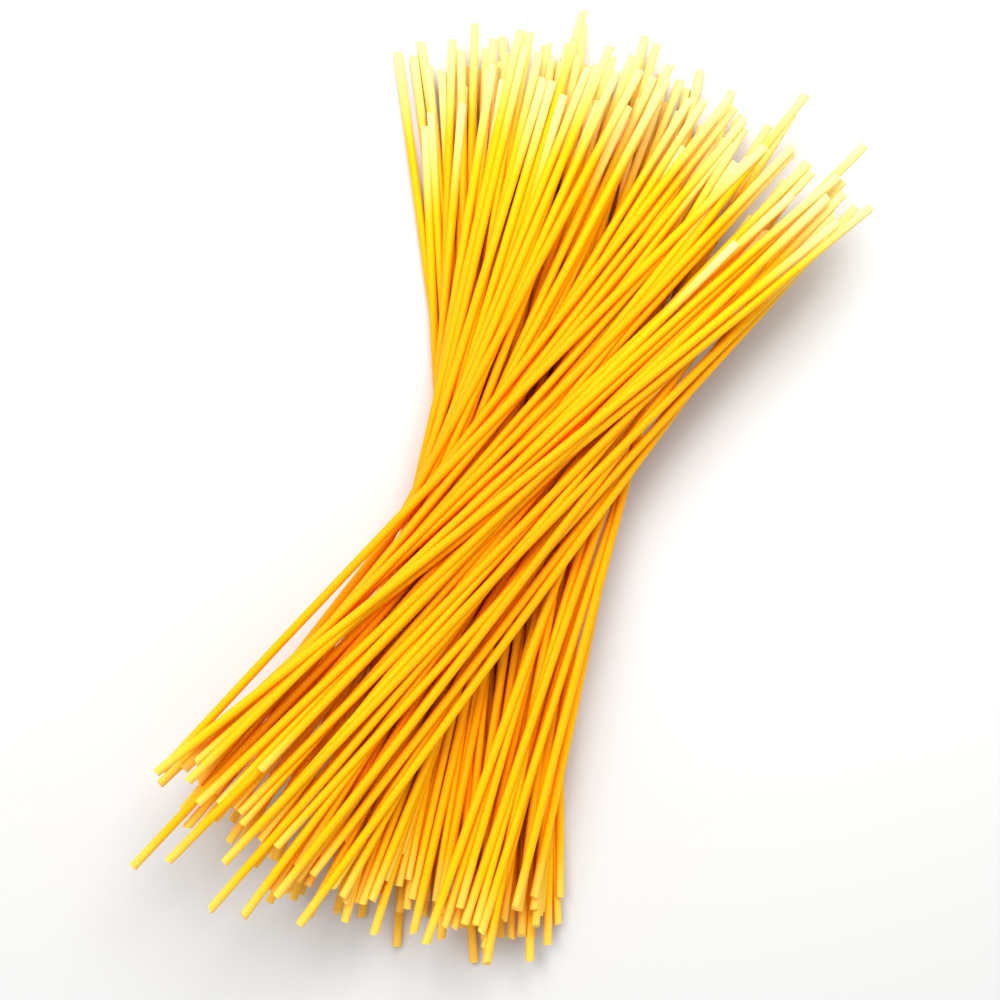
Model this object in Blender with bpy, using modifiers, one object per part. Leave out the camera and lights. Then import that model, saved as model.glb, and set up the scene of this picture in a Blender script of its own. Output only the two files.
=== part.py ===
"""A twisted bundle of dry spaghetti lying on its side, as one solid out to its uneven outline.

Units are metres, +Z is up and the bundle lies along Y. The strands are laid from the bottom
layer to the top one. Each layer is turned a little further about the waist, so both ends
spread into a fan. The origin is in the middle of the footprint.
"""

import math
from dataclasses import dataclass

import bmesh
import bpy
import numpy as np
from mathutils import Matrix, Vector

# One strand of thick spaghetti.
STRAND_LENGTH = 0.250
STRAND_DIAMETER = 0.0026
LENGTH_SPREAD = 0.0008
SLIP_SPREAD = 0.0065

# The layers, from the one on the table to the top one.
LAYER_COUNT = 15
PITCH_SPREAD = 0.30 * STRAND_DIAMETER
TIGHT_SPREAD = math.radians(0.8)  # how far strands turn from their layer at the bottom
LOOSE_SPREAD = math.radians(2.4)  # and at the top
CLUMP = 0.0009  # how far strands are drawn sideways into clumps
CLUMP_REACH = 0.0095  # from one clump to the next
PRESSED_CONTACT = 0.5  # share of a full diameter that two pressed strands lie apart in height

# Lean of a layer in degrees, the offset of its middle at the waist, half its width there,
# and the pitch of its strands in diameters.
FAN = (
    (-27.0, -0.0078, 0.0098, 1.04),
    (-13.0, 0.0006, 0.0230, 1.06),
    (-4.0, 0.0032, 0.0300, 1.20),
    (4.0, 0.0006, 0.0272, 1.90),
    (10.0, -0.0010, 0.0205, 2.60),
    (16.0, 0.0045, 0.0228, 1.70),
    (28.0, 0.0025, 0.0066, 1.15),
)

# A cleft in the fan at -Y, where the strands of the middle layers have parted.
CLEFT_PLACE = (0.015, -0.068)
CLEFT_HALF_WIDTH = 0.0085
CLEFT_LEANS = (-10.0, 9.0)

# Strands that reach past the others: lean in degrees, offset at the waist, slip towards +Y.
LONG_REACHES = (
    (-22.0, -0.0090, 0.0050),
    (-20.0, 0.0060, -0.0145),
    (-10.0, 0.0155, -0.0130),
    (-8.0, 0.0005, -0.0090),
    (4.0, -0.0100, 0.0080),
    (16.0, 0.0085, -0.0190),
    (18.0, -0.0005, 0.0175),
    (20.0, 0.0110, -0.0220),
    (23.5, 0.0025, -0.0190),
    (24.0, 0.0040, 0.0180),
    (24.0, -0.0005, -0.0290),
    (24.0, -0.0135, -0.0030),
    (31.0, 0.0030, -0.0040),
)

# How a dropped strand finds its seat.
SEED = 59
SEAT_TRIES = 9
SEAT_REACH = STRAND_DIAMETER
SLOPE_LIMIT = 0.06
SLOPE_STEPS = 25
SLOPE_PASSES = 4
CONTACT_STATIONS = 61
LEAST_TURN = 1e-6  # the sine of the angle below which two strands count as parallel
LEVEL_PULL = 1e-3  # how much a level strand is preferred to a sloping one
HOME_PULL = 0.02  # how much a seat near the strand's place is preferred to one further off

# The solid that stands for the bundle: rods, and fuller rods under them that close the gaps.
ROD_SIDES = 8
FILLER_RADIUS = 0.0021
FILLER_DROP = 0.0008
SKIN_VOXEL = 0.0009
SKIN_SMOOTHING = 0.5  # parts the spots where the skin would touch itself
TRIANGLE_TARGET = 8600
FLAT_BAND = 0.00015

PASTA_COLOUR = (0.93, 0.58, 0.10, 1.0)
PASTA_ROUGHNESS = 0.45


@dataclass(frozen=True)
class Strand:
    """A straight strand: the middle in plan, lean from +Y towards +X, height and rise."""

    x: float
    y: float
    lean: float
    half: float
    height: float
    rise: float

    def point(self, along: float) -> Vector:
        """The point of the centre line this far from the middle, in plan."""
        return Vector(
            (
                self.x + along * math.sin(self.lean),
                self.y + along * math.cos(self.lean),
                self.height + along * self.rise,
            )
        )


def clear_scene():
    """Removes every object, so that the script starts empty."""
    for obj in list(bpy.data.objects):
        bpy.data.objects.remove(obj, do_unlink=True)


def crossing_contacts(earlier, x, y, lean, half):
    """Places along a new strand where it crosses earlier ones, and the least height there."""
    dir_x, dir_y = math.sin(lean), math.cos(lean)
    other_x, other_y = np.sin(earlier[:, 2]), np.cos(earlier[:, 2])
    gap_x, gap_y = earlier[:, 0] - x, earlier[:, 1] - y
    turn = dir_x * other_y - dir_y * other_x
    crosses = np.abs(turn) > LEAST_TURN
    safe_turn = np.where(crosses, turn, 1.0)
    along = (gap_x * other_y - gap_y * other_x) / safe_turn
    other_along = (gap_x * dir_y - gap_y * dir_x) / safe_turn
    meets = crosses & (np.abs(along) < half) & (np.abs(other_along) < earlier[:, 3])
    heights = earlier[:, 4] + earlier[:, 5] * other_along
    return along[meets], heights[meets] + PRESSED_CONTACT * STRAND_DIAMETER


def side_contacts(earlier, x, y, lean, half):
    """Places where a new strand lies in the groove beside earlier ones."""
    along = np.linspace(-half, half, CONTACT_STATIONS)
    gap_x = x + along * math.sin(lean) - earlier[:, 0:1]
    gap_y = y + along * math.cos(lean) - earlier[:, 1:2]
    other_x, other_y = np.sin(earlier[:, 2:3]), np.cos(earlier[:, 2:3])
    other_along = gap_x * other_x + gap_y * other_y
    apart = np.abs(gap_x * other_y - gap_y * other_x)
    near = (apart < STRAND_DIAMETER) & (np.abs(other_along) < earlier[:, 3:4])
    lift = PRESSED_CONTACT * np.sqrt(np.maximum(STRAND_DIAMETER**2 - apart**2, 0.0))
    heights = earlier[:, 4:5] + earlier[:, 5:6] * other_along + lift
    heights = np.where(near, heights, -1.0).max(axis=0)
    return along[heights > 0.0], heights[heights > 0.0]


def rest_line(earlier, x, y, lean, half):
    """Height and rise of a stiff strand that comes to rest on the floor and on earlier ones."""
    along = [np.array([-half, half])]
    heights = [np.full(2, STRAND_DIAMETER / 2)]
    if len(earlier):
        for contacts in (crossing_contacts, side_contacts):
            places, levels = contacts(earlier, x, y, lean, half)
            along.append(places)
            heights.append(levels)
    along, heights = np.concatenate(along), np.concatenate(heights)
    low, high = -SLOPE_LIMIT, SLOPE_LIMIT
    for _ in range(SLOPE_PASSES):
        rises = np.linspace(low, high, SLOPE_STEPS)
        levels = (heights - rises[:, None] * along).max(axis=1)
        best = int((levels + LEVEL_PULL * np.abs(rises) * half).argmin())
        step = rises[1] - rises[0]
        low, high = rises[best] - step, rises[best] + step
    return float(levels[best]), float(rises[best])


def drop(rows, offset, slip, lean, half):
    """Drops one strand beside its place, where it lies lowest, and adds it to the rows."""
    earlier = np.array(rows)
    seats = []
    for shift in np.linspace(-SEAT_REACH, SEAT_REACH, SEAT_TRIES):
        side = offset + shift
        x = side * math.cos(lean) + slip * math.sin(lean)
        y = -side * math.sin(lean) + slip * math.cos(lean)
        height, rise = rest_line(earlier, x, y, lean, half)
        seats.append((height + HOME_PULL * abs(shift), x, y, height, rise))
    _, x, y, height, rise = min(seats)
    rows.append((x, y, lean, half, height, rise))


def beside_cleft(lean, comb):
    """The places of a layer whose strands don't pass over the cleft."""
    if not CLEFT_LEANS[0] < math.degrees(lean) < CLEFT_LEANS[1]:
        return comb
    over_cleft = CLEFT_PLACE[0] * math.cos(lean) - CLEFT_PLACE[1] * math.sin(lean)
    return comb[np.abs(comb - over_cleft) > CLEFT_HALF_WIDTH]


def comb_layer(rng, rows, lean, middle, half_width, pitch, spread):
    """Drops the strands of one layer side by side in loose clumps, in a random order."""
    count = max(2, round(2 * half_width / (pitch * STRAND_DIAMETER)))
    comb = middle + half_width * (2 * (np.arange(count) + 0.5) / count - 1)
    waves = 2 * math.pi * comb / CLUMP_REACH + rng.uniform(0, 2 * math.pi)
    comb += CLUMP * np.sin(waves)
    comb += rng.normal(0, PITCH_SPREAD, count)
    for offset in rng.permutation(beside_cleft(lean, comb)):
        turn = rng.normal(0, spread)
        slip = rng.normal(0, SLIP_SPREAD)
        half = (STRAND_LENGTH + rng.normal(0, LENGTH_SPREAD)) / 2
        drop(rows, offset, slip, lean + turn, half)


def lay_bundle():
    """All strands of the bundle, bottom layer first."""
    rng = np.random.default_rng(SEED)
    leans, middles, half_widths, pitches = (np.array(column) for column in zip(*FAN))
    rows = []
    waiting = sorted(LONG_REACHES)
    for layer in np.linspace(leans[0], leans[-1], LAYER_COUNT):
        middle = np.interp(layer, leans, middles)
        half_width = np.interp(layer, leans, half_widths)
        pitch = np.interp(layer, leans, pitches)
        loose = (layer - leans[0]) / (leans[-1] - leans[0])
        spread = TIGHT_SPREAD + (LOOSE_SPREAD - TIGHT_SPREAD) * loose**2
        comb_layer(rng, rows, math.radians(layer), middle, half_width, pitch, spread)
        while waiting and (waiting[0][0] <= layer or layer == leans[-1]):
            lean, offset, slip = waiting.pop(0)
            drop(rows, offset, slip, math.radians(lean), STRAND_LENGTH / 2)
    return [Strand(*row) for row in rows]


def add_rod(shape, strand, radius, lowered):
    """Adds a rod along a strand to the mesh."""
    start, end = strand.point(-strand.half), strand.point(strand.half)
    run = end - start
    turned = run.to_track_quat("Z", "Y").to_matrix().to_4x4()
    middle = (start + end) / 2 - Vector((0, 0, lowered))
    bmesh.ops.create_cone(
        shape,
        cap_ends=True,
        segments=ROD_SIDES,
        radius1=radius,
        radius2=radius,
        depth=run.length,
        matrix=Matrix.Translation(middle) @ turned,
    )


def pasta_material():
    """Plain golden pasta."""
    material = bpy.data.materials.new("dry_pasta")
    material.use_nodes = True
    shader = material.node_tree.nodes["Principled BSDF"]
    shader.inputs["Base Color"].default_value = PASTA_COLOUR
    shader.inputs["Roughness"].default_value = PASTA_ROUGHNESS
    shader.inputs["Metallic"].default_value = 0.0
    return material


def new_object(name, mesh, collection):
    """Links a new object with this mesh."""
    obj = bpy.data.objects.new(name, mesh)
    collection.objects.link(obj)
    return obj


def with_modifiers(obj):
    """A new mesh of the object as its modifiers leave it."""
    graph = bpy.context.evaluated_depsgraph_get()
    return bpy.data.meshes.new_from_object(obj.evaluated_get(graph))


def shell_from(shape, start):
    """The faces that hang together with this one."""
    found, waiting = {start}, [start]
    while waiting:
        face = waiting.pop()
        for edge in face.edges:
            beside = [other for other in edge.link_faces if other not in found]
            found.update(beside)
            waiting.extend(beside)
    return found


def drop_inner_shells(shape):
    """Removes the skins of closed pores inside, which leaves the outer skin."""
    top = max(shape.faces, key=lambda face: face.calc_center_median().z)
    outer = shell_from(shape, top)
    inner = [face for face in shape.faces if face not in outer]
    bmesh.ops.delete(shape, geom=inner, context="FACES")


def press_flat(shape, band):
    """Presses all that lies below the table, or within this band above it, onto the table."""
    for vert in shape.verts:
        if vert.co.z < band:
            vert.co.z = 0.0


def reshape(mesh, change, *settings):
    """Changes a mesh in place through a bmesh."""
    shape = bmesh.new()
    shape.from_mesh(mesh)
    change(shape, *settings)
    shape.to_mesh(mesh)
    shape.free()


def strand_mesh(strands):
    """All rods and fillers as one loose mesh."""
    shape = bmesh.new()
    for strand in strands:
        add_rod(shape, strand, STRAND_DIAMETER / 2, 0.0)
        add_rod(shape, strand, FILLER_RADIUS, FILLER_DROP)
    mesh = bpy.data.meshes.new("rods")
    shape.to_mesh(mesh)
    shape.free()
    return mesh


def centre_on_footprint(mesh):
    """Moves the mesh so that the middle of its box is over the origin."""
    places = [vert.co for vert in mesh.vertices]
    middle_x = (min(p.x for p in places) + max(p.x for p in places)) / 2
    middle_y = (min(p.y for p in places) + max(p.y for p in places)) / 2
    mesh.transform(Matrix.Translation((-middle_x, -middle_y, 0)))


def build_bundle(collection):
    """One closed solid out to the uneven outline of all strands."""
    rods = new_object("rods", strand_mesh(lay_bundle()), collection)
    skin_modifier = rods.modifiers.new("one_skin", "REMESH")
    skin_modifier.mode = "VOXEL"
    skin_modifier.voxel_size = SKIN_VOXEL
    settled = rods.modifiers.new("settled", "SMOOTH")
    settled.factor = SKIN_SMOOTHING
    skin = with_modifiers(rods)
    bpy.data.objects.remove(rods, do_unlink=True)
    reshape(skin, drop_inner_shells)
    reshape(skin, press_flat, 0.0)
    dense = new_object("dense_skin", skin, collection)
    facets = dense.modifiers.new("facets", "DECIMATE")
    facets.ratio = TRIANGLE_TARGET / sum(len(face.vertices) - 2 for face in skin.polygons)
    facets.use_collapse_triangulate = True
    mesh = with_modifiers(dense)
    bpy.data.objects.remove(dense, do_unlink=True)
    reshape(mesh, press_flat, FLAT_BAND)
    centre_on_footprint(mesh)
    mesh.name = "spaghetti_bundle"
    mesh.materials.clear()
    mesh.materials.append(pasta_material())
    return new_object("spaghetti_bundle", mesh, collection)


def main():
    clear_scene()
    parts = bpy.data.collections.new("spaghetti_bundle")
    bpy.context.scene.collection.children.link(parts)
    build_bundle(parts)


main()
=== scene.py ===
"""The looks of a twisted bundle of dry spaghetti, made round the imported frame.

The frame holds the bundle as one solid out to its uneven outline. Here that solid is replaced
with the real strands, each one at true size, laid by the same rules and in the same order.
"""

import logging
import math
from dataclasses import dataclass, field
from enum import Enum

import bpy
import numpy as np
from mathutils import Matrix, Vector


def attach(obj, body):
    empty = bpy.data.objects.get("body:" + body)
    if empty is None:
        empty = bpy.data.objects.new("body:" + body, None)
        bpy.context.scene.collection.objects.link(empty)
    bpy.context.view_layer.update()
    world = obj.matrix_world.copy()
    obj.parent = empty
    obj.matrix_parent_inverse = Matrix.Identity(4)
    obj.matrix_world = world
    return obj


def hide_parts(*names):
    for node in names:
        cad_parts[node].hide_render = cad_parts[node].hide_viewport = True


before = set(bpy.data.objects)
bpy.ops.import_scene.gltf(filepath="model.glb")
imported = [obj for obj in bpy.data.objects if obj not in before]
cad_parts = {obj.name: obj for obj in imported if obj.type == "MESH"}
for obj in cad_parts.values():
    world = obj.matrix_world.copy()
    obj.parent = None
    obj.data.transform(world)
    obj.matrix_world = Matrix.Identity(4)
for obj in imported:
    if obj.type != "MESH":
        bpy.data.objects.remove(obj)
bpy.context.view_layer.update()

LOG = logging.getLogger("spaghetti_bundle")
NODE = "spaghetti_bundle"
BODY = "root"

Colour = tuple[float, float, float, float]


class Snap(Enum):
    """How the end of a strand is broken: the tilts of its cuts in degrees."""

    SQUARE = (4.0,)
    SLANTED = (17.0,)
    STEEP = (27.0,)
    CHIPPED = (9.0, -38.0)


class Lamp(Enum):
    """The lamps of the studio, by what each one does."""

    KEY = "key"
    FAR_END = "far_end"


def deselect_all() -> None:
    """Leaves nothing selected, in object mode."""
    if bpy.context.mode != "OBJECT":
        bpy.ops.object.mode_set(mode="OBJECT")
    bpy.ops.object.select_all(action="DESELECT")


def place_new(name: str) -> bpy.types.Object:
    """Names the object that an operator has just added, and applies its place to its mesh.

    Args:
        name: the object's new name, which its mesh takes too.

    Returns:
        The object, selected and active.
    """
    obj = bpy.context.object
    obj.name = name
    obj.data.name = name
    bpy.ops.object.transform_apply(location=True, rotation=True, scale=True)
    return obj


@dataclass(frozen=True)
class Strand:
    """A straight strand at rest: its middle in plan, lean from +Y towards +X, height and rise."""

    x: float
    y: float
    lean: float
    half: float
    height: float
    rise: float

    def ends(self) -> np.ndarray:
        """Works out both ends of the centre line.

        Returns:
            The end at -Y and the one at +Y, one in each row.
        """
        run = np.array([math.sin(self.lean), math.cos(self.lean), self.rise]) * self.half
        middle = np.array([self.x, self.y, self.height])
        return np.stack([middle - run, middle + run])


@dataclass
class StrandPile:
    """The rules by which the strands of the bundle come to rest on each other."""

    length: float = 0.250
    diameter: float = 0.0026
    length_spread: float = 0.0008
    slip_spread: float = 0.0065
    layer_count: int = 15
    pitch_spread: float = 0.30
    clump: float = 0.0009
    clump_reach: float = 0.0095
    tight_spread: float = math.radians(0.8)
    loose_spread: float = math.radians(2.4)
    pressed_contact: float = 0.5
    slope_limit: float = 0.06
    slope_steps: int = 25
    slope_passes: int = 4
    contact_stations: int = 61
    seat_tries: int = 9
    # The sine of the angle below which two strands count as parallel, how much a level strand
    # is preferred to a sloping one, and a seat near the strand's place to one further off.
    least_turn: float = 1e-6
    level_pull: float = 1e-3
    home_pull: float = 0.02
    seed: int = 59
    # Lean of a layer in degrees, the offset of its middle at the waist, half its width there,
    # and the pitch of its strands in diameters.
    fan: tuple[tuple[float, float, float, float], ...] = (
        (-27.0, -0.0078, 0.0098, 1.04),
        (-13.0, 0.0006, 0.0230, 1.06),
        (-4.0, 0.0032, 0.0300, 1.20),
        (4.0, 0.0006, 0.0272, 1.90),
        (10.0, -0.0010, 0.0205, 2.60),
        (16.0, 0.0045, 0.0228, 1.70),
        (28.0, 0.0025, 0.0066, 1.15),
    )
    # A cleft in the fan at -Y, where the strands of the middle layers have parted.
    cleft_place: tuple[float, float] = (0.015, -0.068)
    cleft_half_width: float = 0.0085
    cleft_leans: tuple[float, float] = (-10.0, 9.0)
    # Strands that reach past the others: lean in degrees, offset at the waist, slip to +Y.
    long_reaches: tuple[tuple[float, float, float], ...] = (
        (-22.0, -0.0090, 0.0050),
        (-20.0, 0.0060, -0.0145),
        (-10.0, 0.0155, -0.0130),
        (-8.0, 0.0005, -0.0090),
        (4.0, -0.0100, 0.0080),
        (16.0, 0.0085, -0.0190),
        (18.0, -0.0005, 0.0175),
        (20.0, 0.0110, -0.0220),
        (23.5, 0.0025, -0.0190),
        (24.0, 0.0040, 0.0180),
        (24.0, -0.0005, -0.0290),
        (24.0, -0.0135, -0.0030),
        (31.0, 0.0030, -0.0040),
    )
    rows: list[tuple[float, ...]] = field(default_factory=list)
    waist: tuple[float, float] = (0.0, 0.0)

    def crossing_contacts(
        self, x: float, y: float, lean: float, half: float
    ) -> tuple[np.ndarray, np.ndarray]:
        """Where a new strand crosses the earlier ones.

        Args:
            x: the new strand's middle, to +X.
            y: the new strand's middle, to +Y.
            lean: its angle from +Y towards +X.
            half: half its length.

        Returns:
            Distances from its middle, and the least height of its centre line at each.
        """
        earlier = np.array(self.rows)
        dir_x, dir_y = math.sin(lean), math.cos(lean)
        other_x, other_y = np.sin(earlier[:, 2]), np.cos(earlier[:, 2])
        gap_x, gap_y = earlier[:, 0] - x, earlier[:, 1] - y
        turn = dir_x * other_y - dir_y * other_x
        crosses = np.abs(turn) > self.least_turn
        safe_turn = np.where(crosses, turn, 1.0)
        along = (gap_x * other_y - gap_y * other_x) / safe_turn
        other_along = (gap_x * dir_y - gap_y * dir_x) / safe_turn
        meets = crosses & (np.abs(along) < half) & (np.abs(other_along) < earlier[:, 3])
        heights = earlier[:, 4] + earlier[:, 5] * other_along
        return along[meets], heights[meets] + self.pressed_contact * self.diameter

    def side_contacts(
        self, x: float, y: float, lean: float, half: float
    ) -> tuple[np.ndarray, np.ndarray]:
        """Where a new strand lies in the groove beside earlier ones.

        Args:
            x: the new strand's middle, to +X.
            y: the new strand's middle, to +Y.
            lean: its angle from +Y towards +X.
            half: half its length.

        Returns:
            Distances from its middle, and the least height of its centre line at each.
        """
        earlier = np.array(self.rows)
        along = np.linspace(-half, half, self.contact_stations)
        gap_x = x + along * math.sin(lean) - earlier[:, 0:1]
        gap_y = y + along * math.cos(lean) - earlier[:, 1:2]
        other_x, other_y = np.sin(earlier[:, 2:3]), np.cos(earlier[:, 2:3])
        other_along = gap_x * other_x + gap_y * other_y
        apart = np.abs(gap_x * other_y - gap_y * other_x)
        near = (apart < self.diameter) & (np.abs(other_along) < earlier[:, 3:4])
        lift = self.pressed_contact * np.sqrt(np.maximum(self.diameter**2 - apart**2, 0.0))
        heights = earlier[:, 4:5] + earlier[:, 5:6] * other_along + lift
        heights = np.where(near, heights, -1.0).max(axis=0)
        return along[heights > 0.0], heights[heights > 0.0]

    def rest_line(self, x: float, y: float, lean: float, half: float) -> tuple[float, float]:
        """Finds how a stiff strand comes to rest on the table and on earlier strands.

        Args:
            x: the strand's middle, to +X.
            y: the strand's middle, to +Y.
            lean: its angle from +Y towards +X.
            half: half its length.

        Returns:
            The height of its middle, and its rise for each metre along it.
        """
        along = [np.array([-half, half])]
        heights = [np.full(2, self.diameter / 2)]
        if self.rows:
            for contacts in (self.crossing_contacts, self.side_contacts):
                places, levels = contacts(x, y, lean, half)
                along.append(places)
                heights.append(levels)
        all_along, all_heights = np.concatenate(along), np.concatenate(heights)
        low, high = -self.slope_limit, self.slope_limit
        for _ in range(self.slope_passes):
            rises = np.linspace(low, high, self.slope_steps)
            levels = (all_heights - rises[:, None] * all_along).max(axis=1)
            best = int((levels + self.level_pull * np.abs(rises) * half).argmin())
            step = rises[1] - rises[0]
            low, high = rises[best] - step, rises[best] + step
        return float(levels[best]), float(rises[best])

    def drop(self, offset: float, slip: float, lean: float, half: float) -> None:
        """Drops one strand beside its place, where it lies lowest.

        Args:
            offset: its distance from the axis at the waist, to +X.
            slip: how far it has slipped towards +Y.
            lean: its angle from +Y towards +X.
            half: half its length.
        """
        seats = []
        for shift in np.linspace(-self.diameter, self.diameter, self.seat_tries):
            side = offset + shift
            x = side * math.cos(lean) + slip * math.sin(lean)
            y = -side * math.sin(lean) + slip * math.cos(lean)
            height, rise = self.rest_line(x, y, lean, half)
            seats.append((height + self.home_pull * abs(shift), x, y, height, rise))
        _, x, y, height, rise = min(seats)
        self.rows.append((x, y, lean, half, height, rise))

    def beside_cleft(self, lean: float, comb: np.ndarray) -> np.ndarray:
        """Leaves out the places of a layer whose strands would pass over the cleft.

        Args:
            lean: the layer's angle from +Y towards +X.
            comb: the offsets of its strands at the waist.

        Returns:
            The offsets that stay.
        """
        if not self.cleft_leans[0] < math.degrees(lean) < self.cleft_leans[1]:
            return comb
        over_cleft = self.cleft_place[0] * math.cos(lean) - self.cleft_place[1] * math.sin(lean)
        return comb[np.abs(comb - over_cleft) > self.cleft_half_width]

    def comb_layer(
        self,
        rng: np.random.Generator,
        lean: float,
        middle: float,
        half_width: float,
        pitch: float,
        spread: float,
    ) -> None:
        """Drops the strands of one layer side by side, in a random order.

        Args:
            rng: the source of all random draws.
            lean: the layer's angle from +Y towards +X.
            middle: the offset of the layer's middle at the waist.
            half_width: half the layer's width there.
            pitch: the distance between its strands, in diameters.
            spread: how far its strands turn from the layer's own angle.
        """
        count = max(2, round(2 * half_width / (pitch * self.diameter)))
        comb = middle + half_width * (2 * (np.arange(count) + 0.5) / count - 1)
        waves = 2 * math.pi * comb / self.clump_reach + rng.uniform(0, 2 * math.pi)
        comb += self.clump * np.sin(waves)
        comb += rng.normal(0, self.pitch_spread * self.diameter, count)
        for offset in rng.permutation(self.beside_cleft(lean, comb)):
            turn = rng.normal(0, spread)
            slip = rng.normal(0, self.slip_spread)
            half = (self.length + rng.normal(0, self.length_spread)) / 2
            self.drop(offset, slip, lean + turn, half)

    def lay(self) -> list[Strand]:
        """Lays all strands, the bottom layer first.

        Returns:
            The strands, with the middle of their footprint over the origin.
        """
        rng = np.random.default_rng(self.seed)
        leans, middles, half_widths, pitches = (np.array(column) for column in zip(*self.fan))
        waiting = sorted(self.long_reaches)
        for layer in np.linspace(leans[0], leans[-1], self.layer_count):
            middle = np.interp(layer, leans, middles)
            half_width = np.interp(layer, leans, half_widths)
            pitch = np.interp(layer, leans, pitches)
            loose = (layer - leans[0]) / (leans[-1] - leans[0])
            spread = self.tight_spread + (self.loose_spread - self.tight_spread) * loose**2
            self.comb_layer(rng, math.radians(layer), middle, half_width, pitch, spread)
            while waiting and (waiting[0][0] <= layer or layer == leans[-1]):
                lean, offset, slip = waiting.pop(0)
                self.drop(offset, slip, math.radians(lean), self.length / 2)
        return self.centred([Strand(*row) for row in self.rows])

    def centred(self, strands: list[Strand]) -> list[Strand]:
        """Moves the strands so that the middle of their footprint is over the origin.

        Args:
            strands: the strands as they were laid, round a waist at the origin.

        Returns:
            The moved strands. The pile's waist says where the waist is now.
        """
        ends = np.concatenate([strand.ends() for strand in strands])
        shift = (ends.min(axis=0) + ends.max(axis=0)) / 2
        self.waist = (-float(shift[0]), -float(shift[1]))
        return [
            Strand(old.x - shift[0], old.y - shift[1], old.lean, old.half, old.height, old.rise)
            for old in strands
        ]


@dataclass
class StrandModel:
    """One strand along +Y at true size, with both ends snapped off."""

    length: float
    diameter: float
    sides: int = 12
    segments: int = 5
    spare: float = 0.004
    smooth_below: float = math.radians(40)

    def build(self, name: str, near: Snap, far: Snap) -> bpy.types.Object:
        """Models one strand.

        Args:
            name: the name of the new object.
            near: how the end at -Y is broken.
            far: how the end at +Y is broken.

        Returns:
            The strand, at the origin.
        """
        deselect_all()
        bpy.ops.mesh.primitive_cylinder_add(
            vertices=self.sides,
            radius=self.diameter / 2,
            depth=self.length + 2 * self.spare,
            rotation=(math.radians(90), 0, 0),
        )
        strand = place_new(name)
        bpy.ops.object.mode_set(mode="EDIT")
        for cut in range(1, self.segments):
            along = self.length * (cut / self.segments - 0.5)
            bpy.ops.mesh.select_all(action="SELECT")
            bpy.ops.mesh.bisect(plane_co=(0, along, 0), plane_no=(0, 1, 0))
        self.snap_off(-1, near)
        self.snap_off(1, far)
        bpy.ops.object.mode_set(mode="OBJECT")
        bpy.ops.object.shade_smooth_by_angle(angle=self.smooth_below)
        return strand

    def snap_off(self, side: int, snap: Snap) -> None:
        """Cuts one end off along the planes of its break, and closes it.

        Args:
            side: -1 for the end at -Y, 1 for the one at +Y.
            snap: how that end is broken.
        """
        for tilt in snap.value:
            slope = math.radians(tilt)
            reach = self.length / 2 - abs(math.sin(slope)) * self.diameter / 4
            bpy.ops.mesh.select_all(action="SELECT")
            bpy.ops.mesh.bisect(
                plane_co=(0, side * reach, 0),
                plane_no=(math.sin(slope), side * math.cos(slope), 0),
                use_fill=True,
                clear_outer=True,
            )


@dataclass(frozen=True)
class Grain:
    """Noise that follows a strand: cycles for each metre across, along and up, and octaves."""

    stretch: tuple[float, float, float]
    octaves: float


@dataclass(frozen=True)
class Relief:
    """Small bumps in a surface: their grain, strength and depth."""

    grain: Grain
    strength: float
    depth: float


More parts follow.
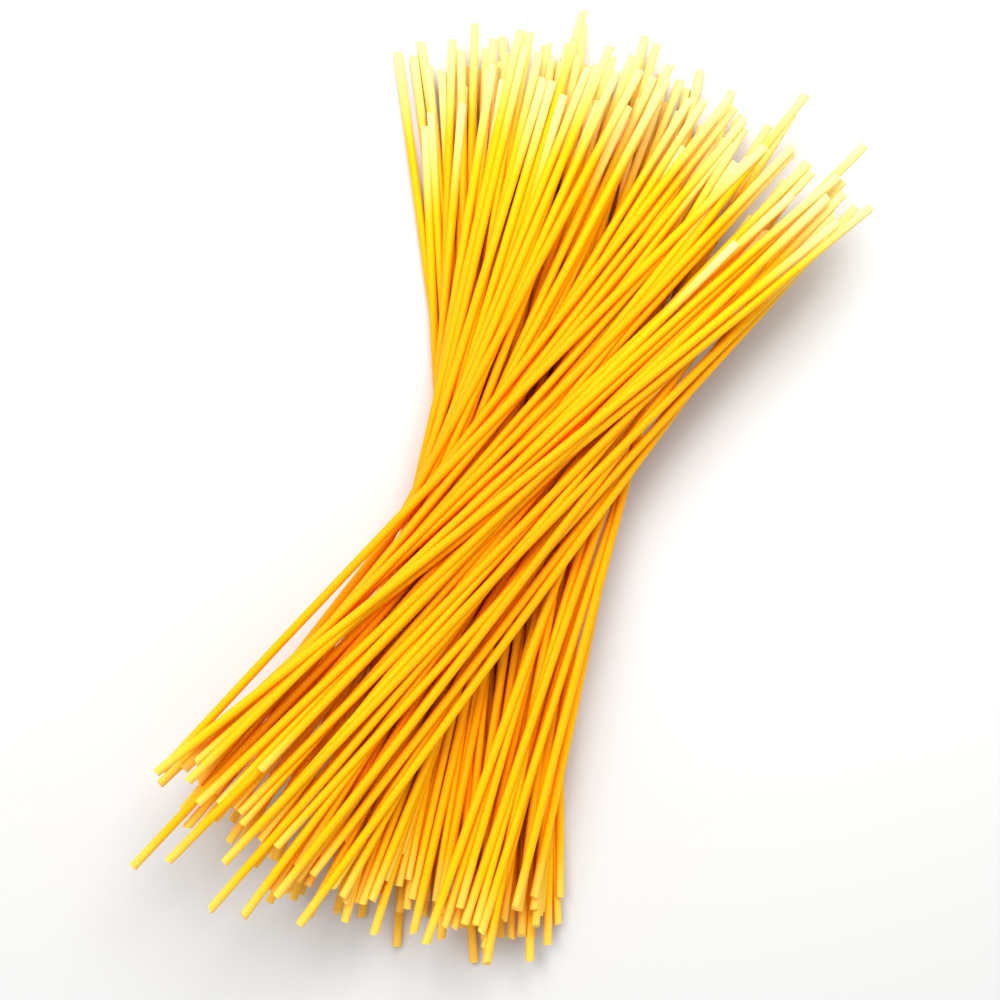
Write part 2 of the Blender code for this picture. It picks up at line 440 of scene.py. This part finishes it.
@dataclass(frozen=True)
class DryPasta:
    """The finish of dry durum pasta: golden, smooth and a little translucent."""

    deep: Colour = (0.965, 0.33, 0.001, 1.0)
    golden: Colour = (0.975, 0.43, 0.002, 1.0)
    pale: Colour = (0.985, 0.54, 0.004, 1.0)
    near_snapped: Colour = (0.99, 0.74, 0.20, 1.0)
    # Partly painted highlight: the pale of a snapped end, made paler still as glare at the lit end
    # at +Y.
    far_snapped_and_painted_highlight: Colour = (0.99, 0.85, 0.34, 1.0)
    fleck: Colour = (0.60, 0.22, 0.02, 1.0)
    # Painted shade: the colour that multiplies the gold in the crevices between strands.
    crevice_shade_colour: Colour = (1.0, 0.54, 0.12, 1.0)
    # Painted shade in the crevices between strands: how far a crevice is felt, its rays, and how
    # open a place is at no painted shade and at the full.
    crevice_shade_reach: float = 0.012
    crevice_shade_rays: int = 6
    crevice_shade_levels: tuple[float, float] = (0.60, 0.0)
    roughness: tuple[float, float] = (0.34, 0.52)
    gloss: float = 0.18
    gloss_tint: Colour = (1.0, 0.75, 0.30, 1.0)
    translucency: float = 0.35
    glow_depth: float = 0.0016
    glow_spread: tuple[float, float, float] = (1.0, 0.45, 0.08)
    # Where the paler stretch starts and how strong it is, at the end at -Y and at the one at +Y.
    # The stronger one at +Y is partly painted highlight, where the light falls brightest.
    near_tip: tuple[float, float] = (0.108, 0.40)
    far_tip_and_painted_highlight: tuple[float, float] = (0.094, 0.90)
    tip_end: float = 0.127
    half_length: float = 0.125
    streak_depth: float = 0.16
    streak_grain: Grain = Grain((500.0, 28.0, 500.0), 3.0)
    fleck_grain: Grain = Grain((1900.0, 1300.0, 1900.0), 1.0)
    fleck_levels: tuple[float, float] = (0.70, 0.86)
    sheen_grain: Grain = Grain((900.0, 90.0, 900.0), 2.0)
    die_lines: Relief = Relief(Grain((2600.0, 60.0, 2600.0), 2.0), 0.12, 0.00005)
    flour: Relief = Relief(Grain((3800.0, 3000.0, 3800.0), 2.0), 0.06, 0.00003)
    # How the tone runs along a strand: the distance from its middle to +Y, and the tone there.
    tone_run: tuple[tuple[float, float], ...] = (
        (-0.120, 0.80),
        (-0.080, 0.60),
        (-0.005, 0.26),
        (0.045, 0.37),
        (0.105, 0.80),
    )
    # Where the painted crevice shade starts to fade towards the brighter lit end at +Y, and how
    # much of it is left at the end.
    shade_fade_to_lit_end: tuple[float, float] = (0.0, 0.25)

    def material(self) -> bpy.types.Material:
        """Builds the material's nodes.

        Returns:
            The material, which reads the strands' tone, along and grain attributes.
        """
        material = bpy.data.materials.new("dry_pasta")
        material.use_nodes = True
        tree = material.node_tree
        shader = tree.nodes["Principled BSDF"]
        shader.inputs["Subsurface Weight"].default_value = self.translucency
        shader.inputs["Subsurface Radius"].default_value = self.glow_spread
        shader.inputs["Subsurface Scale"].default_value = self.glow_depth
        shader.inputs["Specular IOR Level"].default_value = self.gloss
        shader.inputs["Specular Tint"].default_value = self.gloss_tint
        colour = self.strand_colour(tree)
        colour = self.flecked(tree, colour)
        # Paler dry ends; at +Y partly painted highlight, the glare of the lit end.
        colour = self.paler_tips_and_painted_highlight(tree, colour)
        # Painted shade: the gold between strands is deepened where ambient occlusion finds
        # crevices.
        colour = self.painted_crevice_shade(tree, colour)
        tree.links.new(colour, shader.inputs["Base Color"])
        tree.links.new(self.sheen(tree), shader.inputs["Roughness"])
        tree.links.new(self.relief(tree), shader.inputs["Normal"])
        return material

    @staticmethod
    def attribute(tree: bpy.types.NodeTree, name: str) -> bpy.types.Node:
        """Adds a node that reads one of the strands' own attributes.

        Args:
            tree: the material's nodes.
            name: the attribute's name.

        Returns:
            The node.
        """
        node = tree.nodes.new("ShaderNodeAttribute")
        node.attribute_name = name
        return node

    def noise(self, tree: bpy.types.NodeTree, grain: Grain) -> bpy.types.NodeSocket:
        """Adds noise that follows the strand.

        Args:
            tree: the material's nodes.
            grain: how fine the noise is.

        Returns:
            The noise, from 0 to 1.
        """
        scale = tree.nodes.new("ShaderNodeVectorMath")
        scale.operation = "MULTIPLY"
        scale.inputs[1].default_value = grain.stretch
        tree.links.new(self.attribute(tree, "grain").outputs["Vector"], scale.inputs[0])
        noise = tree.nodes.new("ShaderNodeTexNoise")
        noise.inputs["Scale"].default_value = 1.0
        noise.inputs["Detail"].default_value = grain.octaves
        tree.links.new(scale.outputs["Vector"], noise.inputs["Vector"])
        return noise.outputs["Fac"]

    @staticmethod
    def ranged(
        tree: bpy.types.NodeTree,
        value: bpy.types.NodeSocket,
        before: tuple[float, float],
        after: tuple[float, float] = (0.0, 1.0),
        way: str = "SMOOTHSTEP",
    ) -> bpy.types.NodeSocket:
        """Moves a value from one range to another.

        Args:
            tree: the material's nodes.
            value: the value.
            before: both ends of its range.
            after: what they become.
            way: SMOOTHSTEP or LINEAR.

        Returns:
            The moved value.
        """
        node = tree.nodes.new("ShaderNodeMapRange")
        node.interpolation_type = way
        node.inputs["From Min"].default_value, node.inputs["From Max"].default_value = before
        node.inputs["To Min"].default_value, node.inputs["To Max"].default_value = after
        tree.links.new(value, node.inputs["Value"])
        return node.outputs["Result"]

    @staticmethod
    def worked(
        tree: bpy.types.NodeTree, operation: str, *values: "bpy.types.NodeSocket | float"
    ) -> bpy.types.NodeSocket:
        """Adds a Math node.

        Args:
            tree: the material's nodes.
            operation: what it does.
            values: its inputs, each one a socket or a number.

        Returns:
            The result.
        """
        node = tree.nodes.new("ShaderNodeMath")
        node.operation = operation
        for socket, value in zip(node.inputs, values):
            if isinstance(value, float):
                socket.default_value = value
            else:
                tree.links.new(value, socket)
        return node.outputs[0]

    @staticmethod
    def blended(
        tree: bpy.types.NodeTree,
        share: bpy.types.NodeSocket,
        first: "bpy.types.NodeSocket | Colour",
        second: "bpy.types.NodeSocket | Colour",
    ) -> bpy.types.NodeSocket:
        """Mixes two colours.

        Args:
            tree: the material's nodes.
            share: how much of the second colour shows.
            first: a colour or a socket.
            second: a colour or a socket.

        Returns:
            The mixed colour.
        """
        mix = tree.nodes.new("ShaderNodeMix")
        mix.data_type = "RGBA"
        tree.links.new(share, mix.inputs["Factor"])
        for name, value in (("A", first), ("B", second)):
            socket = next(s for s in mix.inputs if s.name == name and s.type == "RGBA")
            if isinstance(value, tuple):
                socket.default_value = value
            else:
                tree.links.new(value, socket)
        return next(s for s in mix.outputs if s.type == "RGBA")

    def strand_colour(self, tree: bpy.types.NodeTree) -> bpy.types.NodeSocket:
        """Adds the gold of each strand, with long soft streaks in it.

        Args:
            tree: the material's nodes.

        Returns:
            The colour.
        """
        ramp = tree.nodes.new("ShaderNodeValToRGB")
        ramp.color_ramp.elements[0].color = self.deep
        ramp.color_ramp.elements[1].color = self.pale
        ramp.color_ramp.elements.new(0.5).color = self.golden
        fine = self.noise(tree, self.streak_grain)
        streaks = self.worked(tree, "MULTIPLY_ADD", fine, self.streak_depth, -self.streak_depth / 2)
        tone = self.worked(tree, "ADD", self.attribute(tree, "tone").outputs["Fac"], streaks)
        tone = self.worked(tree, "ADD", tone, self.run_of_tone(tree))
        tree.links.new(tone, ramp.inputs["Fac"])
        return ramp.outputs["Color"]

    def run_of_tone(self, tree: bpy.types.NodeTree) -> bpy.types.NodeSocket:
        """Adds the run of the tone: deepest near the waist, lightest towards +Y.

        Args:
            tree: the material's nodes.

        Returns:
            The tone at each place along the strand.
        """
        along = self.attribute(tree, "along").outputs["Fac"]
        place = self.ranged(tree, along, (-self.half_length, self.half_length), way="LINEAR")
        run = tree.nodes.new("ShaderNodeValToRGB")
        run.color_ramp.interpolation = "EASE"
        stops = run.color_ramp.elements
        while len(stops) < len(self.tone_run):
            stops.new(1.0)
        for stop, (distance, tone) in zip(stops, self.tone_run):
            stop.position = distance / (2 * self.half_length) + 0.5
            stop.color = (tone, tone, tone, 1.0)
        tree.links.new(place, run.inputs["Fac"])
        return run.outputs["Color"]

    def flecked(
        self, tree: bpy.types.NodeTree, colour: bpy.types.NodeSocket
    ) -> bpy.types.NodeSocket:
        """Adds the small dark flecks of the durum bran."""
        share = self.ranged(tree, self.noise(tree, self.fleck_grain), self.fleck_levels)
        return self.blended(tree, share, colour, self.fleck)

    def paler_tips_and_painted_highlight(
        self, tree: bpy.types.NodeTree, colour: bpy.types.NodeSocket
    ) -> bpy.types.NodeSocket:
        """Makes the strand paler towards its dry, snapped ends. Towards +Y it is partly painted
        highlight, paler still where the light falls brightest.

        Args:
            tree: the material's nodes.
            colour: the colour before.

        Returns:
            The colour with the paler ends.
        """
        tips = ((-1, self.near_tip, self.near_snapped), (1, self.far_tip_and_painted_highlight, self.far_snapped_and_painted_highlight))
        for side, (start, strength), tip_colour in tips:
            along = self.attribute(tree, "along").outputs["Fac"]
            share = self.ranged(tree, along, (side * start, side * self.tip_end), (0.0, strength))
            colour = self.blended(tree, share, colour, tip_colour)
        return colour

    def painted_crevice_shade(
        self, tree: bpy.types.NodeTree, colour: bpy.types.NodeSocket
    ) -> bpy.types.NodeSocket:
        """Paints shade between strands: the gold is deepened and reddened where ambient occlusion
        finds them hemmed in.

        Args:
            tree: the material's nodes.
            colour: the colour before.

        Returns:
            The colour with the painted crevice shade, which fades towards the lit end at +Y.
        """
        # Painted shade from ambient occlusion, fading towards the lit end at +Y.
        occlusion_for_shade = tree.nodes.new("ShaderNodeAmbientOcclusion")
        occlusion_for_shade.samples = self.crevice_shade_rays
        occlusion_for_shade.inputs["Distance"].default_value = self.crevice_shade_reach
        share = self.ranged(tree, occlusion_for_shade.outputs["AO"], self.crevice_shade_levels)
        along = self.attribute(tree, "along").outputs["Fac"]
        start, left = self.shade_fade_to_lit_end
        fading = self.ranged(tree, along, (start, self.half_length), (1.0, left))
        mix = tree.nodes.new("ShaderNodeMix")
        mix.data_type = "RGBA"
        mix.blend_type = "MULTIPLY"
        tree.links.new(self.worked(tree, "MULTIPLY", share, fading), mix.inputs["Factor"])
        first, second = (socket for socket in mix.inputs if socket.type == "RGBA")
        tree.links.new(colour, first)
        second.default_value = self.crevice_shade_colour
        return next(socket for socket in mix.outputs if socket.type == "RGBA")

    def sheen(self, tree: bpy.types.NodeTree) -> bpy.types.NodeSocket:
        """Roughness, a little uneven along the strand."""
        uneven = self.noise(tree, self.sheen_grain)
        return self.ranged(tree, uneven, (0.0, 1.0), self.roughness, way="LINEAR")

    def relief(self, tree: bpy.types.NodeTree) -> bpy.types.NodeSocket:
        """Adds faint lines along the strand from the die, and a floury roughness on them.

        Args:
            tree: the material's nodes.

        Returns:
            The bumped normal.
        """
        normal: "bpy.types.NodeSocket | None" = None
        for relief in (self.die_lines, self.flour):
            bump = tree.nodes.new("ShaderNodeBump")
            bump.inputs["Strength"].default_value = relief.strength
            bump.inputs["Distance"].default_value = relief.depth
            tree.links.new(self.noise(tree, relief.grain), bump.inputs["Height"])
            if normal is not None:
                tree.links.new(normal, bump.inputs["Normal"])
            normal = bump.outputs["Normal"]
        return normal


@dataclass
class SpaghettiBundle:
    """All the strands of the bundle, in a few joined pieces from the table up."""

    pile: StrandPile
    finish: DryPasta
    seed: int = 21
    bow_low: float = 0.0003
    bow_high: float = 0.0008
    thickness_spread: float = 0.015
    tone_spread: float = 0.07
    piece_names: tuple[str, ...] = ("strands_lower", "strands_middle", "strands_upper")
    snaps: tuple[tuple[Snap, Snap], ...] = (
        (Snap.SQUARE, Snap.SLANTED),
        (Snap.SLANTED, Snap.SQUARE),
        (Snap.SQUARE, Snap.SQUARE),
        (Snap.CHIPPED, Snap.SLANTED),
        (Snap.STEEP, Snap.SQUARE),
        (Snap.SLANTED, Snap.CHIPPED),
    )

    def build(self) -> list[bpy.types.Object]:
        """Lays the strands, models them and joins them.

        Returns:
            The pieces, bottom first.
        """
        strands = self.pile.lay()
        model = StrandModel(self.pile.length, self.pile.diameter)
        models = [
            model.build(f"strand_model_{index}", near, far)
            for index, (near, far) in enumerate(self.snaps)
        ]
        material = self.finish.material()
        rng = np.random.default_rng(self.seed)
        pieces = []
        shares = np.array_split(np.arange(len(strands)), len(self.piece_names))
        for name, share in zip(self.piece_names, shares):
            copies = []
            for index in share:
                chosen = models[int(rng.integers(len(models)))]
                looseness = index / len(strands)
                copies.append(self.copy_of(chosen, strands[index], looseness, rng))
            piece = self.joined(name, copies)
            piece.data.materials.append(material)
            pieces.append(piece)
            LOG.info("%s: %d strands", name, len(copies))
        for master in models:
            bpy.data.objects.remove(master, do_unlink=True)
        return pieces

    def copy_of(
        self,
        model: bpy.types.Object,
        strand: Strand,
        looseness: float,
        rng: np.random.Generator,
    ) -> bpy.types.Object:
        """Copies a modelled strand to its place in the bundle, with its own mesh.

        Args:
            model: the modelled strand, along +Y at the origin.
            strand: where the copy lies.
            looseness: 0 at the bottom of the bundle, 1 on top.
            rng: the source of all random draws.

        Returns:
            The copy, with its tone, along and grain attributes.
        """
        copy = model.copy()
        copy.data = model.data.copy()
        bpy.context.scene.collection.objects.link(copy)
        count = len(copy.data.vertices)
        shape = np.empty(count * 3)
        copy.data.vertices.foreach_get("co", shape)
        shape = shape.reshape(-1, 3)
        roll = rng.uniform(0, 2 * math.pi)
        thickness = 1 + rng.normal(0, self.thickness_spread)
        across = thickness * (shape[:, 0] * math.cos(roll) - shape[:, 2] * math.sin(roll))
        upward = thickness * (shape[:, 0] * math.sin(roll) + shape[:, 2] * math.cos(roll))
        along = shape[:, 1] * strand.half / (self.pile.length / 2)
        bow = rng.normal(0, self.bow_low + (self.bow_high - self.bow_low) * looseness)
        side = across + bow * (1 - 2 * (along / strand.half) ** 2)
        placed = np.stack(
            [
                strand.x + along * math.sin(strand.lean) + side * math.cos(strand.lean),
                strand.y + along * math.cos(strand.lean) - side * math.sin(strand.lean),
                strand.height + along * strand.rise + upward,
            ],
            axis=1,
        )
        copy.data.vertices.foreach_set("co", placed.ravel())
        copy.data.update()
        tone = float(np.clip(rng.normal(0, self.tone_spread), -0.5, 0.5))
        grain = shape + rng.uniform(-1, 1, 3)
        self.write(copy.data, "tone", "FLOAT", np.full(count, tone))
        self.write(copy.data, "along", "FLOAT", shape[:, 1])
        self.write(copy.data, "grain", "FLOAT_VECTOR", grain)
        return copy

    @staticmethod
    def write(mesh: bpy.types.Mesh, name: str, kind: str, values: np.ndarray) -> None:
        """Stores one value or vector for each vertex.

        Args:
            mesh: the mesh that takes the attribute.
            name: the attribute's name.
            kind: FLOAT or FLOAT_VECTOR.
            values: the values, in the order of the vertices.
        """
        attribute = mesh.attributes.new(name, kind, "POINT")
        key = "value" if kind == "FLOAT" else "vector"
        attribute.data.foreach_set(key, np.ascontiguousarray(values, np.float32).ravel())

    @staticmethod
    def joined(name: str, copies: list[bpy.types.Object]) -> bpy.types.Object:
        """Joins the copies into one piece.

        Args:
            name: the piece's name.
            copies: the strands, each with its own mesh.

        Returns:
            The piece, at the origin.
        """
        deselect_all()
        for copy in copies:
            copy.select_set(True)
        bpy.context.view_layer.objects.active = copies[0]
        bpy.ops.object.join()
        piece = bpy.context.object
        piece.name = name
        piece.data.name = name
        return piece


@dataclass(frozen=True)
class TableTop:
    """The finish of the plain pale surface under the bundle."""

    colour: Colour = (0.66, 0.66, 0.655, 1.0)
    roughness: float = 0.65

    def material(self) -> bpy.types.Material:
        """Builds the plain pale material.

        Returns:
            The material.
        """
        material = bpy.data.materials.new("pale_table")
        material.use_nodes = True
        shader = material.node_tree.nodes["Principled BSDF"]
        shader.inputs["Base Color"].default_value = self.colour
        shader.inputs["Roughness"].default_value = self.roughness
        return material


@dataclass
class Studio:
    """The pale table, the soft lamps and the camera straight above."""

    waist: tuple[float, float]
    top: TableTop = TableTop()
    floor_size: float = 8.0
    floor_drop: float = 0.0003
    lamp_aim: float = 0.02
    sensor_width: float = 36.0
    camera_height: float = 0.85
    camera_turn: float = math.radians(20.06)
    view_width: float = 0.2985
    view_shift: tuple[float, float] = (-0.0025, -0.0034)
    sky: Colour = (1.0, 1.0, 1.0, 1.0)
    sky_strength: float = 0.67
    # Power in watts, size, and direction seen from the waist: right, up in the view, height.
    lamps: tuple[tuple[Lamp, float, float, tuple[float, float, float]], ...] = (
        (Lamp.KEY, 9.2, 0.75, (-0.42, 0.39, 1.05)),
        (Lamp.FAR_END, 2.2, 0.30, (0.12, 0.34, 0.42)),
    )

    def seen_from_above(self, right: float, up: float) -> tuple[float, float]:
        """Turns a distance to the right and up in the view into one along X and Y."""
        c, s = math.cos(self.camera_turn), math.sin(self.camera_turn)
        return right * c - up * s, right * s + up * c

    def build(self) -> None:
        """Makes the table, the lamps, the sky and the camera."""
        self.build_floor()
        for role, power, size, place in self.lamps:
            self.build_lamp(role, power, size, place)
        self.build_sky()
        self.build_camera()
        bpy.context.scene.view_settings.view_transform = "Standard"

    def build_floor(self) -> None:
        """Lays the pale table just under the lowest strands."""
        deselect_all()
        bpy.ops.mesh.primitive_plane_add(size=self.floor_size, location=(0, 0, -self.floor_drop))
        floor = place_new("table_top")
        floor.data.materials.append(self.top.material())

    def build_lamp(
        self, role: Lamp, power: float, size: float, place: tuple[float, float, float]
    ) -> None:
        """Hangs one square soft lamp that faces the waist.

        Args:
            role: what the lamp does.
            power: its power in watts.
            size: the side of its square.
            place: to the right, up in the view and above the table, from the waist.
        """
        x, y = self.seen_from_above(place[0], place[1])
        lamp = bpy.data.lights.new(role.value, "AREA")
        lamp.energy = power
        lamp.size = size
        holder = bpy.data.objects.new(role.value, lamp)
        holder.location = (self.waist[0] + x, self.waist[1] + y, place[2])
        aim = Vector((self.waist[0], self.waist[1], self.lamp_aim)) - holder.location
        holder.rotation_euler = aim.to_track_quat("-Z", "Y").to_euler()
        bpy.context.scene.collection.objects.link(holder)

    def build_sky(self) -> None:
        """Surrounds the scene with even white light."""
        world = bpy.data.worlds.new("studio_white")
        world.use_nodes = True
        background = world.node_tree.nodes["Background"]
        background.inputs["Color"].default_value = self.sky
        background.inputs["Strength"].default_value = self.sky_strength
        bpy.context.scene.world = world

    def build_camera(self) -> None:
        """Hangs the camera over the waist, looking straight down."""
        camera = bpy.data.cameras.new("overhead")
        camera.sensor_width = self.sensor_width
        half_angle = math.atan(self.view_width / 2 / self.camera_height)
        camera.lens = camera.sensor_width / 2 / math.tan(half_angle)
        holder = bpy.data.objects.new("overhead", camera)
        x, y = self.seen_from_above(*self.view_shift)
        holder.location = (self.waist[0] + x, self.waist[1] + y, self.camera_height)
        holder.rotation_euler = (0, 0, self.camera_turn)
        bpy.context.scene.collection.objects.link(holder)
        bpy.context.scene.camera = holder


def main() -> None:
    """Builds the bundle and the studio in order, and ties the pieces to the frame."""
    logging.basicConfig(level=logging.INFO, format="%(name)s: %(message)s")
    pile = StrandPile()
    bundle = SpaghettiBundle(pile, DryPasta())
    for piece in bundle.build():
        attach(piece, BODY)
        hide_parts(NODE)
        LOG.info("%s: %d faces", piece.name, len(piece.data.polygons))
    Studio(waist=pile.waist).build()


if __name__ == "__main__":
    main()
